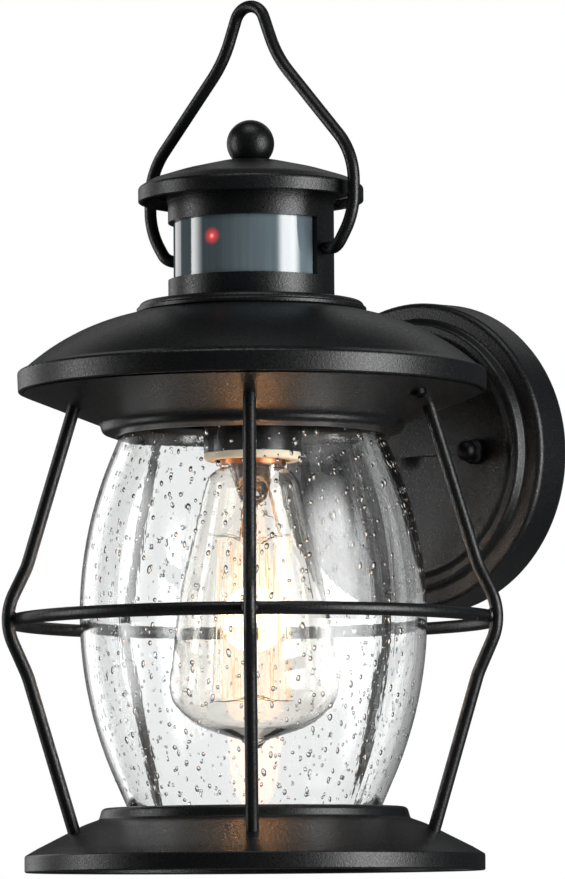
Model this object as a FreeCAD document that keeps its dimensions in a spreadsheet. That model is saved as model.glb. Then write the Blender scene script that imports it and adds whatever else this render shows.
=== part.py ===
import FreeCAD, Part
import math
import os
import re
import Sketcher
from FreeCAD import Placement, Rotation, Vector

# Outdoor wall lantern with a motion sensor head, modelled in millimetres.
# The origin is the centre of the wall plate's back, in the plane of the wall.
# +Z is up, -Y points away from the wall. Heights in the sheet are measured
# above the lantern's bottom edge, and radii from the lantern's own axis.

SIZES = {
    # placing
    "axis_distance": 126.0,        # wall to lantern axis
    "plate_height": 167.6,         # lantern bottom edge to plate centre
    # wall plate and its fixings
    "gasket_thickness": 1.5,
    "canopy_radius": 62.8,
    "canopy_shoulder": 18.0,
    "canopy_depth": 22.0,
    "canopy_ridge_radius": 52.8,
    "sheet_metal": 1.5,
    "bar_half_length": 54.0,
    "bar_half_width": 9.5,
    "bar_thickness": 1.6,
    "box_screw_spacing": 88.9,
    "box_slot_length": 10.0,
    "box_slot_width": 4.8,
    "ground_screw_offset": 13.0,
    "ground_screw_radius": 1.9,
    "stud_spacing": 66.0,
    "stud_radius": 2.1,
    "stud_end": 30.3,
    "nut_radius": 4.6,
    "nut_length": 12.0,
    "thread_clearance": 0.06,
    "arm_height": 200.0,
    "arm_radius": 11.0,
    "arm_wall": 1.5,
    "arm_inner_end": 64.0,
    "lock_nut_radius": 15.0,
    "lock_nut_thickness": 4.0,
    # roof
    "roof_radius": 91.1,
    "roof_bottom": 186.2,
    "roof_band_top": 194.0,
    "roof_top": 217.0,
    "roof_wall": 1.8,
    "collar_radius": 44.8,
    "collar_top": 221.2,
    "wire_hole_radius": 5.1,
    "housing_screw_circle": 21.0,
    "housing_screw_hole": 1.8,
    # pan
    "pan_radius": 89.1,
    "pan_edge_height": 185.5,
    "gallery_radius": 58.5,
    "gallery_bottom": 170.4,
    "gallery_hole_radius": 52.6,
    "pan_slope": 20.6,
    "pan_screw_radius": 79.0,
    "pan_screw_shank": 1.9,
    # cage
    "cage_wire_radius": 2.5,
    "cage_belly_radius": 100.8,
    "cage_belly_height": 97.0,
    "cage_shoulder_radius": 91.0,
    "cage_shoulder_height": 116.6,
    "cage_hip_radius": 90.7,
    "cage_hip_height": 75.0,
    "cage_head_radius": 71.3,
    "cage_head_height": 180.6,
    "cage_foot_radius": 72.3,
    "cage_foot_height": 14.6,
    "ring_radius": 94.0,
    # base
    "base_radius": 89.1,
    "base_rim_height": 6.4,
    "base_collar_radius": 60.1,
    "base_collar_top": 24.8,
    "base_seat": 20.0,
    "base_opening": 44.6,
    "base_wall": 2.0,
    # glass shade
    "glass_wall": 3.8,
    "glass_bottom": 21.0,
    "glass_top": 179.0,
    "glass_neck_radius": 50.8,
    "glass_belly": 73.0,
    "glass_belly_height": 98.0,
    "glass_foot_radius": 47.6,
    # lamp holder
    "socket_radius": 19.15,
    "socket_top": 201.0,
    "socket_bottom": 162.0,
    "socket_rim_bottom": 158.9,
    "shell_radius": 14.4,
    "shell_wall": 0.5,
    "nipple_radius": 5.0,
    # bulb
    "bulb_cap_radius": 13.1,
    "bulb_cap_bottom": 157.2,
    "bulb_cap_top": 183.0,
    "envelope_wall": 0.8,
    "bulb_shoulder_radius": 17.6,
    "bulb_shoulder_height": 153.4,
    "bulb_waist_radius": 28.3,
    "bulb_waist_height": 108.0,
    "bulb_belly_radius": 33.8,
    "bulb_belly_height": 67.0,
    "bulb_chin_radius": 22.5,
    "bulb_chin_height": 56.6,
    "bulb_tip_radius": 5.2,
    "bulb_tip_top": 51.0,
    "bulb_tip_bottom": 47.8,
    "stem_flare_height": 151.0,
    "stem_pinch_height": 144.0,
    "stem_rod_radius": 1.7,
    "stem_bottom": 62.6,
    "filament_radius": 15.6,
    "filament_top": 130.0,
    "filament_bottom": 65.8,
    "filament_strands": 10,
    "strand_radius": 0.45,
    "hook_radius": 0.3,
    # sensor head
    "head_radius": 32.4,
    "head_inner_radius": 30.5,
    "head_top": 260.6,
    "window_bottom": 230.0,
    "window_top": 252.5,
    "lens_radius": 30.3,
    "lens_wall": 1.3,
    "led_height": 244.5,
    "led_offset": 3.6,
    # top cap, rod and ball
    "brim_radius": 44.0,
    "brim_top": 266.2,
    "cap_top": 277.0,
    "rod_radius": 2.0,
    "ball_radius": 9.3,
    "ball_height": 283.7,
    # carrying handle
    "bail_wire_radius": 2.4,
    "bail_pivot_height": 240.4,
    "bail_setback": 3.4,
    "bail_reach": 49.6,
    "bail_peak": 350.6,
    "bail_neck_reach": 13.0,
    "bail_neck_drop": 33.6,
    "bail_shoulder_height": 276.0,
    "bail_hip_height": 252.8,
    "bail_foot_reach": 41.4,
    "bail_pin_reach": 35.4,
}

doc = FreeCAD.newDocument("WallLantern")
sheet = doc.addObject("Spreadsheet::Sheet", "Sizes")
for row, (alias, number) in enumerate(SIZES.items(), start=1):
    sheet.set(f"A{row}", alias.replace("_", " "))
    sheet.set(f"B{row}", str(number))
    sheet.setAlias(f"B{row}", alias)
doc.recompute()

LANTERN = ("0", "-axis_distance", "-plate_height")
WALL = ("0", "0", "0")
ORIGIN_POINT = (-1, 1)
HORIZONTAL_AXIS = -1
VERTICAL_AXIS = -2

sub_parts = {}


def bound(text):
    """An expression on the sheet, from one written with its plain aliases."""
    def named(word):
        return "Sizes." + word[0] if word[0] in SIZES else word[0]

    return re.sub(r"[a-z_]+", named, str(text))


def value(text):
    return float(sheet.evalExpression(bound(text)))


def keep(node, label):
    """Name an object as one of the sub-parts that are written out."""
    node.Label = label
    sub_parts[label] = node
    return node


def bind(node, **properties):
    for name, text in properties.items():
        node.setExpression(name, bound(text))


def place(node, at, turn=None):
    """Put an object at a point given by three expressions, turned about its own origin."""
    node.Placement = Placement(Vector(*[value(text) for text in at]), turn or Rotation())
    for axis, text in zip("xyz", at):
        node.setExpression(f"Placement.Base.{axis}", bound(text))


# ---------------------------------------------------------------- sketches

def pins(geometry, end, corner):
    """Constraints that fix a point by its two coordinates, each with its expression."""
    directions = (("DistanceX", corner[0], VERTICAL_AXIS), ("DistanceY", corner[1], HORIZONTAL_AXIS))
    for name, text, axis in directions:
        if abs(value(text)) < 1e-9:
            yield Sketcher.Constraint("PointOnObject", geometry, end, axis), None
        else:
            yield Sketcher.Constraint(name, *ORIGIN_POINT, geometry, end, value(text)), text


def constrain(sketch, rules):
    """Add constraints together, then tie the dimensions among them to the sheet."""
    sketch.addConstraint([rule for rule, text in rules])
    for index, (rule, text) in enumerate(rules):
        if text is not None:
            sketch.setExpression(f"Constraints[{index}]", bound(text))


def corner_cut(before, at, after, radius):
    """Where a rounded corner leaves its two straight sides, with the arc's middle."""
    back = (before - at).normalize()
    ahead = (after - at).normalize()
    half = back.getAngle(ahead) / 2
    setback = radius / math.tan(half)
    middle = (back + ahead).normalize() * (radius / math.sin(half) - radius)
    return at + back * setback, at + middle, at + ahead * setback


def rounding(geometry, cut_points, corner, arriving, leaving):
    """The arc and marked point of a rounded corner, with the constraints that hold them."""
    arc = Part.Arc(*cut_points)
    mark = Part.Point(Vector(value(corner[0]), value(corner[1]), 0))
    index = len(geometry)
    geometry += [(arc, False), (mark, True)]
    start, middle, end = cut_points
    turns_left = (middle - start).cross(end - middle).z > 0
    first, last = (1, 2) if turns_left else (2, 1)
    yield Sketcher.Constraint("Tangent", arriving, 2, index, first), None
    yield Sketcher.Constraint("Tangent", leaving, 1, index, last), None
    yield Sketcher.Constraint("PointOnObject", index + 1, 1, arriving), None
    yield Sketcher.Constraint("PointOnObject", index + 1, 1, leaving), None
    yield Sketcher.Constraint("Radius", index, value(corner[2])), corner[2]
    yield from pins(index + 1, 1, corner)


def draw(sketch, corners, closed=True):
    """Straight sides through the corners, each (x, y) or (x, y, rounding radius)."""
    points = [Vector(value(corner[0]), value(corner[1]), 0) for corner in corners]
    count = len(points)
    sides = count if closed else count - 1
    cuts = {}
    for k, corner in enumerate(corners):
        if len(corner) == 3:
            cuts[k] = corner_cut(points[k - 1], points[k], points[(k + 1) % count], value(corner[2]))
    geometry, rules = [], []
    for k in range(sides):
        after = (k + 1) % count
        start = cuts[k][2] if k in cuts else points[k]
        end = cuts[after][0] if after in cuts else points[after]
        if (end - start).dot(points[after] - points[k]) <= 0:
            raise ValueError(f"{sketch.getParentGeoFeatureGroup().Label}: the roundings of side {k} meet")
        geometry.append((Part.LineSegment(start, end), False))
    for k, corner in enumerate(corners):
        leaving, arriving = k, (k - 1) % count
        if k in cuts:
            rules += rounding(geometry, cuts[k], corner, arriving, leaving)
        elif closed or 0 < k < sides:
            rules.append((Sketcher.Constraint("Coincident", arriving, 2, leaving, 1), None))
            rules += pins(leaving, 1, corner)
        else:
            rules += pins(*((leaving, 1) if k == 0 else (arriving, 2)), corner)
    for shape, construction in geometry:
        sketch.addGeometry(shape, construction)
    constrain(sketch, rules)


def sketch_on(body, plane, name):
    sketch = body.newObject("Sketcher::SketchObject", name)
    support = [origin for origin in body.Origin.OriginFeatures if origin.Role == plane][0]
    sketch.AttachmentSupport = [(support, "")]
    sketch.MapMode = "FlatFace"
    return sketch


def circle(sketch, radius):
    """A circle round the sketch's origin, tied to the sheet by its radius."""
    sketch.addGeometry(Part.Circle(Vector(), Vector(0, 0, 1), value(radius)), False)
    constrain(sketch, [
        (Sketcher.Constraint("Coincident", 0, 3, *ORIGIN_POINT), None),
        (Sketcher.Constraint("Radius", 0, value(radius)), radius),
    ])


# ---------------------------------------------------------------- features

def new_body(label, at, turn=None):
    body = doc.addObject("PartDesign::Body", "Body")
    body.Label = label
    place(body, at, turn)
    return body


def turned(label, corners, at=LANTERN, plane="XZ_Plane", turn=None):
    """A piece turned about its axis from the outline of one half."""
    body = new_body(label, at, turn)
    sketch = sketch_on(body, plane, "Outline")
    draw(sketch, corners)
    revolution = body.newObject("PartDesign::Revolution", "Turned")
    revolution.Profile = sketch
    revolution.ReferenceAxis = (sketch, ["V_Axis"])
    revolution.Angle = 360
    return body


def padded(label, corners, thickness, at, plane="XZ_Plane", turn=None, midplane=True):
    """A flat outline given a thickness."""
    body = new_body(label, at, turn)
    sketch = sketch_on(body, plane, "Outline")
    draw(sketch, corners)
    pad = body.newObject("PartDesign::Pad", "Thickness")
    pad.Profile = sketch
    pad.Midplane = midplane
    bind(pad, Length=thickness)
    return body


def bent_wire(label, corners, radius, at=LANTERN, turn=None):
    """Round wire bent along a path in the upright plane."""
    body = new_body(label, at, turn)
    path = sketch_on(body, "XZ_Plane", "Path")
    draw(path, corners, closed=False)
    path.recompute()
    section = body.newObject("Sketcher::SketchObject", "Section")
    section.AttachmentSupport = [(path, "Edge1"), (path, "Vertex1")]
    section.MapMode = "NormalToEdge"
    circle(section, radius)
    pipe = body.newObject("PartDesign::AdditivePipe", "Wire")
    pipe.Profile = section
    pipe.Spine = path
    return body


def rod(radius, length, at, direction=Vector(0, 0, 1)):
    """A plain cylinder from a point along a direction."""
    cylinder = doc.addObject("Part::Cylinder", "Rod")
    bind(cylinder, Radius=radius, Height=length)
    place(cylinder, at, Rotation(Vector(0, 0, 1), direction))
    return cylinder


def block(size, at):
    """A box given by its three sizes, centred on a point."""
    box = doc.addObject("Part::Box", "Block")
    bind(box, Length=size[0], Width=size[1], Height=size[2])
    place(box, [f"{middle} - ({side}) / 2" for middle, side in zip(at, size)])
    return box


def joined(label, pieces):
    """Several solids kept as one group or one fused piece."""
    group = doc.addObject("Part::MultiFuse", "Joined")
    group.Shapes = pieces
    return keep(group, label) if label else group


def cut(label, piece, tools):
    """A piece with holes: the tools are taken away from it."""
    piece.Label = label + "_blank"
    tool = tools[0] if len(tools) == 1 else joined(None, tools)
    result = doc.addObject("Part::Cut", "Cut")
    result.Base = piece
    result.Tool = tool
    return keep(result, label)


def above(height):
    """A height above the lantern's bottom edge, in the frame of the whole part."""
    return f"{height} - plate_height"


def behind(depth):
    """A distance behind the lantern's axis, in the frame of the whole part."""
    return f"{depth} - axis_distance"


OUTWARD = Vector(0, -1, 0)
UP = Vector(0, 0, 1)


# ---------------------------------------------------------------- wall side

def wall_bar():
    stud, box = "stud_spacing / 2", "box_screw_spacing / 2"
    bar = padded("mounting_bar", [
        ("bar_half_length", "bar_half_width", "3"), ("-bar_half_length", "bar_half_width", "3"),
        ("-bar_half_length", "-bar_half_width", "3"), ("bar_half_length", "-bar_half_width", "3"),
    ], "bar_thickness", ("0", "-bar_thickness / 2", "0"))
    tools = [rod("ground_screw_radius", "bar_thickness * 2", ("ground_screw_offset", "0.5", "0"), OUTWARD)]
    for side in ("", "-"):
        tools.append(rod("stud_radius", "bar_thickness * 2", (f"{side}{stud}", "0.5", "0"), OUTWARD))
        straight = "box_slot_length - box_slot_width"
        for end in ("-", "+"):
            where = f"{side}{box} {end} ({straight}) / 2"
            tools.append(rod("box_slot_width / 2", "bar_thickness * 2", (where, "0.5", "0"), OUTWARD))
        tools.append(block((straight, "bar_thickness * 4", "box_slot_width"), (f"{side}{box}", "0", "0")))
    cut("mounting_bar", bar, tools)


def ground_screw():
    """Cross-head earthing screw, threaded through the bar."""
    shank, under, top = "ground_screw_radius", "-bar_thickness - 1.2", "-bar_thickness - 3.6"
    screw = turned("ground_screw", [
        ("0", "0"), (shank, "0"), (shank, under), ("4", under), ("4", top, "1.2"), ("0", top),
    ], ("ground_screw_offset", "0", "0"), "XY_Plane")
    slot = block(("5", "1.6", "1"), ("ground_screw_offset", top, "0"))
    cross = block(("1", "1.6", "5"), ("ground_screw_offset", top, "0"))
    cut("ground_screw", screw, [slot, cross])


def wall_plate():
    keep(turned("canopy_gasket", [
        ("canopy_radius - 6", "0"), ("canopy_radius - 0.6", "0"),
        ("canopy_radius - 0.6", "-gasket_thickness"), ("canopy_radius - 6", "-gasket_thickness"),
    ], WALL, "XY_Plane"), "canopy_gasket")
    outside = [
        ("canopy_radius", "-gasket_thickness"),
        ("canopy_radius - 0.5", "-canopy_shoulder", "2.6"),
        ("canopy_ridge_radius + 2.4", "-canopy_shoulder - 0.2", "1.2"),
        ("canopy_ridge_radius + 1", "-canopy_depth", "1.5"),
        ("canopy_ridge_radius - 2.2", "-canopy_depth", "2"),
        ("canopy_ridge_radius - 5.4", "-canopy_depth + 2.4", "3"),
        ("0", "-canopy_depth + 3.2"),
    ]
    inside = [
        ("0", "-canopy_depth + 3.2 + sheet_metal"),
        ("canopy_ridge_radius - 6", "-canopy_depth + 2.4 + sheet_metal", "1.5"),
        ("canopy_ridge_radius - 2.8", "-canopy_depth + sheet_metal"),
        ("canopy_ridge_radius - 0.4", "-canopy_depth + sheet_metal"),
        ("canopy_ridge_radius + 1", "-canopy_shoulder - 0.2 + sheet_metal"),
        ("canopy_radius - 0.5 - sheet_metal", "-canopy_shoulder + sheet_metal", "1.1"),
        ("canopy_radius - sheet_metal", "-gasket_thickness"),
    ]
    plate = turned("canopy", outside + inside, WALL, "XY_Plane")
    tools = [rod("arm_radius", "canopy_depth", ("0", "0", above("arm_height")), OUTWARD)]
    tools += [rod("stud_radius + 0.5", "canopy_depth * 2", place, OUTWARD) for place in stud_places()]
    cut("canopy", plate, tools)


def stud_places():
    return [(f"{side}stud_spacing / 2", "0", "0") for side in ("", "-")]


def canopy_fixings():
    joined("canopy_studs", [rod("stud_radius", "stud_end", place, OUTWARD) for place in stud_places()])
    seat = "-canopy_depth + 2.35"
    for side, label in (("-", "canopy_nut_left"), ("", "canopy_nut_right")):
        bore = "stud_radius + thread_clearance"
        nut = turned(label, [
            (bore, seat), ("nut_radius - 0.2", seat), ("nut_radius + 0.3", f"{seat} - 0.6", "0.4"),
            ("nut_radius + 0.3", f"{seat} - 4.2", "0.4"), ("nut_radius - 1", f"{seat} - 5", "0.5"),
            ("nut_radius + 0.6", f"{seat} - 7.4", "2"), ("nut_radius - 0.6", f"{seat} - nut_length", "2.6"),
            ("0", f"{seat} - nut_length"), ("0", "-stud_end - 0.3"), (bore, "-stud_end - 0.3"),
        ], (f"{side}stud_spacing / 2", "0", "0"), "XY_Plane")
        keep(nut, label)


def arm():
    """Tube from the wall plate to the roof, locked inside the plate by a ring nut."""
    level = above("arm_height")
    outer = rod("arm_radius", "axis_distance - arm_inner_end - 8", ("0", "-8", level), OUTWARD)
    inner = rod("arm_radius - arm_wall", "axis_distance - arm_inner_end", ("0", "-7", level), OUTWARD)
    cut("arm_tube", outer, [inner])
    seat = "-canopy_depth + 4.75 + lock_nut_thickness"
    ring = rod("lock_nut_radius", "lock_nut_thickness", ("0", seat, level), OUTWARD)
    bore = rod("arm_radius", "lock_nut_thickness * 2", ("0", "-canopy_depth + 12", level), OUTWARD)
    cut("arm_lock_nut", ring, [bore])


# ---------------------------------------------------------------- roof

def roof():
    dome = [
        ("roof_radius", "roof_bottom", "0.6"),
        ("roof_radius + 0.3", "roof_band_top", "1.4"),
        ("roof_radius - 2.8", "roof_band_top + 1.5", "1.4"),
        ("collar_radius + 25.6", "roof_top - 6.6", "90"),
        ("collar_radius - 0.5", "roof_top", "10"),
        ("wire_hole_radius", "roof_top"),
    ]
    under = [
        ("wire_hole_radius", "roof_top - roof_wall"),
        ("collar_radius - 6", "roof_top - roof_wall", "12"),
        ("collar_radius + 25", "roof_top - 6.6 - roof_wall", "90"),
        ("roof_radius - roof_wall", "roof_band_top - 1.2", "1.5"),
        ("roof_radius - roof_wall", "roof_bottom"),
    ]
    shell = turned("roof", dome + under)
    level = above("arm_height")
    reach = block(("arm_radius * 3", "axis_distance", "arm_radius * 3"), ("0", "-axis_distance / 2", level))
    rear = doc.addObject("Part::Common", "RearHole")
    rear.Base = rod("arm_radius", "axis_distance - 10", ("0", "-10", level), OUTWARD)
    rear.Tool = reach
    cut("roof", shell, [rear] + housing_screw_holes("roof_top - 4"))


def housing_screw_places():
    """Three screws under the sensor head, evenly round the axis."""
    for k in range(3):
        angle = 90 + 120 * k
        yield f"housing_screw_circle * cos({angle})", f"housing_screw_circle * sin({angle}) - axis_distance"


def housing_screw_holes(height, radius="housing_screw_hole"):
    return [rod(radius, "10", (x, y, above(height))) for x, y in housing_screw_places()]


def collar():
    """Stepped disc that the sensor head stands on."""
    disc = turned("roof_collar", [
        ("12", "roof_top"), ("28", "roof_top"), ("28", "collar_top - 1.8"),
        ("collar_radius - 2.6", "collar_top - 1.8", "1"), ("collar_radius - 1.8", "roof_top", "0.3"),
        ("collar_radius", "roof_top", "0.6"), ("collar_radius", "collar_top - 2.2", "0.4"),
        ("collar_radius - 0.9", "collar_top - 2.2", "0.3"), ("collar_radius - 1.2", "collar_top", "2"),
        ("12", "collar_top"),
    ])
    cut("roof_collar", disc, housing_screw_holes("roof_top - 2"))


def pan():
    slope = "tan(pan_slope)"
    throat = "gallery_radius + 0.8"
    rise = f"pan_edge_height - (pan_radius - {throat}) * {slope}"
    shell = turned("pan", [
        ("pan_radius", "pan_edge_height"),
        (throat, rise, "2.5"),
        ("gallery_radius", "gallery_bottom", "2.4"),
        ("gallery_radius - 4.5", "gallery_bottom - 1.6", "2"),
        ("gallery_hole_radius", "gallery_bottom - 1.6"),
        ("gallery_hole_radius", "gallery_bottom"),
        ("gallery_radius - 4.3", "gallery_bottom", "1"),
        ("gallery_radius - 1.6", "gallery_bottom + 1.4", "1.2"),
        (f"{throat} - 1", f"{rise} + sheet_metal - 0.3", "1"),
        ("pan_radius - 0.5", "pan_edge_height + sheet_metal - 0.3"),
    ])
    cut("pan", shell, [pan_screw_rod(side, "pan_screw_shank + 0.25") for side in (1, -1)])


def pan_screw_frame(side):
    """Placement of a pan screw: square to the cone, pointing up into the roof."""
    slope = math.radians(value("pan_slope"))
    radius = value("pan_screw_radius")
    height = value("pan_edge_height - (pan_radius - pan_screw_radius) * tan(pan_slope)")
    seat = Vector(side * radius, -value("axis_distance"), height - value("plate_height"))
    return seat, Vector(-side * math.sin(slope), 0, math.cos(slope))


def pan_screw_rod(side, radius):
    seat, direction = pan_screw_frame(side)
    start = seat - direction * 4
    return rod(radius, "8", [repr(number) for number in start], direction)


def pan_screws():
    """Cross-head screws through the cone into the hanger's feet."""
    pieces = []
    for side in (1, -1):
        seat, direction = pan_screw_frame(side)
        turn = Rotation(UP, direction)
        screw = turned("pan_screw", [
            ("0", "-2.2"), ("2.9", "-2.2", "1"), ("3.4", "0"), ("pan_screw_shank", "0"),
            ("pan_screw_shank", "9"), ("0", "9"),
        ], [repr(number) for number in seat], turn=turn)
        slots = []
        for size in (("3.8", "0.9"), ("0.9", "3.8")):
            slot = doc.addObject("Part::Box", "Slot")
            bind(slot, Length=size[0], Width=size[1], Height="1.1")
            corner = Vector(-float(size[0]) / 2, -float(size[1]) / 2, -2.3)
            slot.Placement = Placement(seat, turn).multiply(Placement(corner, Rotation()))
            slots.append(slot)
        headed = doc.addObject("Part::Cut", "Headed")
        headed.Base, headed.Tool = screw, joined(None, slots)
        pieces.append(headed)
    joined("pan_screws", pieces)


# ---------------------------------------------------------------- lamp holder

def hanger():
    """Bent strap that hangs from the roof's top and takes the pan screws in its feet."""
    bends = [
        ("34", "roof_top - roof_wall", "0.55"), ("60.6", "pan_edge_height - 4.5", "0.75"),
        ("84", "pan_edge_height + 4.3", "0"),
    ]
    upper, lower = [], []
    for across, height, shift in bends:
        upper.append((across, height))
        lower.append((f"{across} - {shift} * sheet_metal", f"{height} - sheet_metal"))
    left_upper = [("-" + across, height) for across, height in reversed(upper)]
    left_lower = [(f"-({across})", height) for across, height in lower]
    strap = padded("socket_hanger", left_upper + upper + lower[::-1] + left_lower, "20", LANTERN)
    hole = rod("nipple_radius", "20", ("0", behind("0"), above("roof_top - 12")))
    screws = [pan_screw_rod(side, "pan_screw_shank") for side in (1, -1)]
    cut("socket_hanger", strap, [hole] + housing_screw_holes("roof_top - 4") + screws)


def nipple():
    keep(turned("socket_nipple", [
        ("3.9", "socket_top - 4"), ("nipple_radius", "socket_top - 4"),
        ("nipple_radius", "collar_top - 0.8"), ("3.9", "collar_top - 0.8"),
    ]), "socket_nipple")
    nuts = []
    for bottom in ("roof_top - roof_wall - sheet_metal - 3", "roof_top"):
        nut = doc.addObject("Part::Prism", "HexNut")
        nut.Polygon = 6
        bind(nut, Circumradius="8.2", Height="3")
        place(nut, ("0", behind("0"), above(bottom)))
        bore = rod("nipple_radius", "6", ("0", behind("0"), above(f"{bottom} - 1")))
        bored = doc.addObject("Part::Cut", "Nut")
        bored.Base, bored.Tool = nut, bore
        nuts.append(bored)
    joined("nipple_nuts", nuts)


def lamp_holder():
    keep(turned("socket_body", [
        ("nipple_radius", "socket_top"), ("nipple_radius", "socket_top - 4"), ("3.4", "socket_top - 4"),
        ("3.4", "bulb_cap_top + 5"), ("shell_radius + shell_wall", "bulb_cap_top + 5"),
        ("shell_radius + shell_wall", "socket_bottom"), ("socket_radius", "socket_bottom"),
        ("socket_radius", "socket_top - 6", "3"), ("socket_radius - 6", "socket_top", "3"),
    ]), "socket_body")
    keep(turned("socket_rim", [
        ("shell_radius + shell_wall", "socket_bottom"), ("shell_radius + 0.2", "socket_rim_bottom"),
        ("socket_radius - 0.6", "socket_rim_bottom", "1"), ("socket_radius - 0.3", "socket_bottom"),
    ]), "socket_rim")
    keep(turned("socket_shell", [
        ("shell_radius", "socket_bottom - 0.6"), ("shell_radius + shell_wall", "socket_bottom"),
        ("shell_radius + shell_wall", "bulb_cap_top + 5"), ("7", "bulb_cap_top + 5"),
        ("7", "bulb_cap_top + 4.4"), ("shell_radius", "bulb_cap_top + 4.4"),
    ]), "socket_shell")
    keep(turned("socket_contact", [
        ("0", "bulb_cap_top + 2.4"), ("2.6", "bulb_cap_top + 2.4"), ("2.6", "bulb_cap_top + 3.4"),
        ("1.4", "bulb_cap_top + 3.4"), ("1.4", "bulb_cap_top + 9"), ("0", "bulb_cap_top + 9"),
    ]), "socket_contact")


# ---------------------------------------------------------------- bulb

def bulb():
    cap, low, top = "bulb_cap_radius", "bulb_cap_bottom", "bulb_cap_top"
    keep(turned("bulb_cap", [
        (cap, low), (cap, f"{top} - 5", "1"), ("6.2", top), ("4.4", top), ("4.4", f"{top} - 0.8"),
        (f"{cap} - 0.5", f"{top} - 6"), (f"{cap} - 0.5", low),
    ]), "bulb_cap")
    keep(turned("bulb_contact", [
        ("0", f"{top} - 1.2"), ("4.2", f"{top} - 1.2"), ("4.2", f"{top} + 0.6"), ("3", f"{top} + 1.8", "1"),
        ("0", f"{top} + 1.8"),
    ]), "bulb_contact")
    neck, wall = f"{cap} - 0.55", "envelope_wall"
    outer = [
        (neck, f"{low} + 8"), (neck, f"{low} - 1", "1.5"),
        ("bulb_shoulder_radius", "bulb_shoulder_height", "8"),
        ("bulb_waist_radius", "bulb_waist_height", "150"),
        ("bulb_belly_radius", "bulb_belly_height", "14"),
        ("bulb_chin_radius", "bulb_chin_height", "24"),
        ("bulb_tip_radius", "bulb_tip_top", "3"),
        ("2", "bulb_tip_bottom", "1.6"), ("0", "bulb_tip_bottom"),
    ]
    inner = [
        ("0", f"bulb_tip_bottom + {wall} * 2"),
        ("bulb_tip_radius - 1.6", f"bulb_tip_top + {wall} * 1.5", "2"),
        (f"bulb_chin_radius - {wall} * 0.4", f"bulb_chin_height + {wall}", "24"),
        (f"bulb_belly_radius - {wall} * 1.1", f"bulb_belly_height + {wall} * 0.5", "13"),
        (f"bulb_waist_radius - {wall}", "bulb_waist_height", "150"),
        (f"bulb_shoulder_radius - {wall}", "bulb_shoulder_height - 0.3", "8"),
        (f"{neck} - {wall}", f"{low} - 1.3", "1.5"), (f"{neck} - {wall}", f"{low} + 8"),
    ]
    keep(turned("bulb_envelope", outer + inner), "bulb_envelope")
    keep(turned("bulb_stem", [
        ("0", f"{low} + 6"), (f"{neck} - {wall} - 0.4", f"{low} + 6"), ("7.4", "stem_flare_height", "5"),
        ("5.2", "stem_pinch_height", "3"), ("2", "stem_pinch_height - 2", "1"),
        ("stem_rod_radius", "stem_bottom", "0.8"), ("0", "stem_bottom"),
    ]), "bulb_stem")


def filament_places():
    count = int(value("filament_strands"))
    for k in range(count):
        angle = 360 / count * k
        yield angle, f"filament_radius * cos({angle})", f"filament_radius * sin({angle})"


def filament():
    """Upright strands in a ring, held by fine hooks from the stem."""
    strands, hooks = [], []
    root = "stem_rod_radius"
    for angle, x, y in filament_places():
        foot = (x, f"{y} - axis_distance", above("filament_bottom"))
        strands.append(rod("strand_radius", "filament_top - filament_bottom", foot))
        spoke = Vector(math.cos(math.radians(angle)), math.sin(math.radians(angle)), 0)
        for height in ("filament_top + hook_radius", "filament_bottom - hook_radius"):
            start = (f"{root} * cos({angle})", f"{root} * sin({angle}) - axis_distance", above(height))
            hooks.append(rod("hook_radius", f"filament_radius - {root}", start, spoke))
    joined("bulb_filament", strands)
    joined("filament_supports", hooks)


# ---------------------------------------------------------------- shade and cage

def shade():
    foot, belly, neck, wall = "glass_foot_radius", "glass_belly", "glass_neck_radius", "glass_wall"
    middle, arc = "glass_belly_height", "158"
    outer = [
        (foot, "glass_bottom", "1.2"), (f"{belly} + 8", middle, arc), (neck, "glass_top - 8", "6"),
        (neck, "glass_top", "1.2"),
    ]
    inner = [
        (f"{neck} - {wall}", "glass_top", "1.2"), (f"{neck} - {wall}", "glass_top - 8", "6"),
        (f"{belly} + 8 - {wall} * 1.09", middle, f"{arc} - {wall}"),
        (f"{foot} - {wall}", "glass_bottom", "1.2"),
    ]
    keep(turned("glass_shade", outer + inner), "glass_shade")
    keep(turned("glass_gasket_bottom", [
        ("base_opening + 0.2", "base_seat"), ("base_opening + 5", "base_seat"),
        ("base_opening + 5", "glass_bottom"), ("base_opening + 0.2", "glass_bottom"),
    ]), "glass_gasket_bottom")
    keep(turned("glass_gasket_top", [
        ("glass_neck_radius + 0.05", "gallery_bottom + 2.6"),
        ("gallery_hole_radius + 0.1", "gallery_bottom"),
        ("gallery_hole_radius + 1", "gallery_bottom"), ("gallery_hole_radius + 1", "gallery_bottom + 4.6"),
        ("glass_neck_radius + 0.05", "gallery_bottom + 4.6"),
    ]), "glass_gasket_top")


def cage():
    for k in range(5):
        turn = Rotation(Vector(0, 0, 1), 36 + 72 * k - 90)
        wire = bent_wire(f"cage_wire_{k + 1}", [
            ("cage_head_radius", "cage_head_height"),
            ("cage_shoulder_radius", "cage_shoulder_height", "30"),
            ("cage_belly_radius", "cage_belly_height", "22"),
            ("cage_hip_radius", "cage_hip_height", "30"),
            ("cage_foot_radius", "cage_foot_height"),
        ], "cage_wire_radius", turn=turn)
        keep(wire, f"cage_wire_{k + 1}")
    ring = doc.addObject("Part::Torus", "Ring")
    bind(ring, Radius1="ring_radius", Radius2="cage_wire_radius")
    place(ring, ("0", behind("0"), above("cage_belly_height")))
    keep(ring, "cage_ring")


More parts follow.
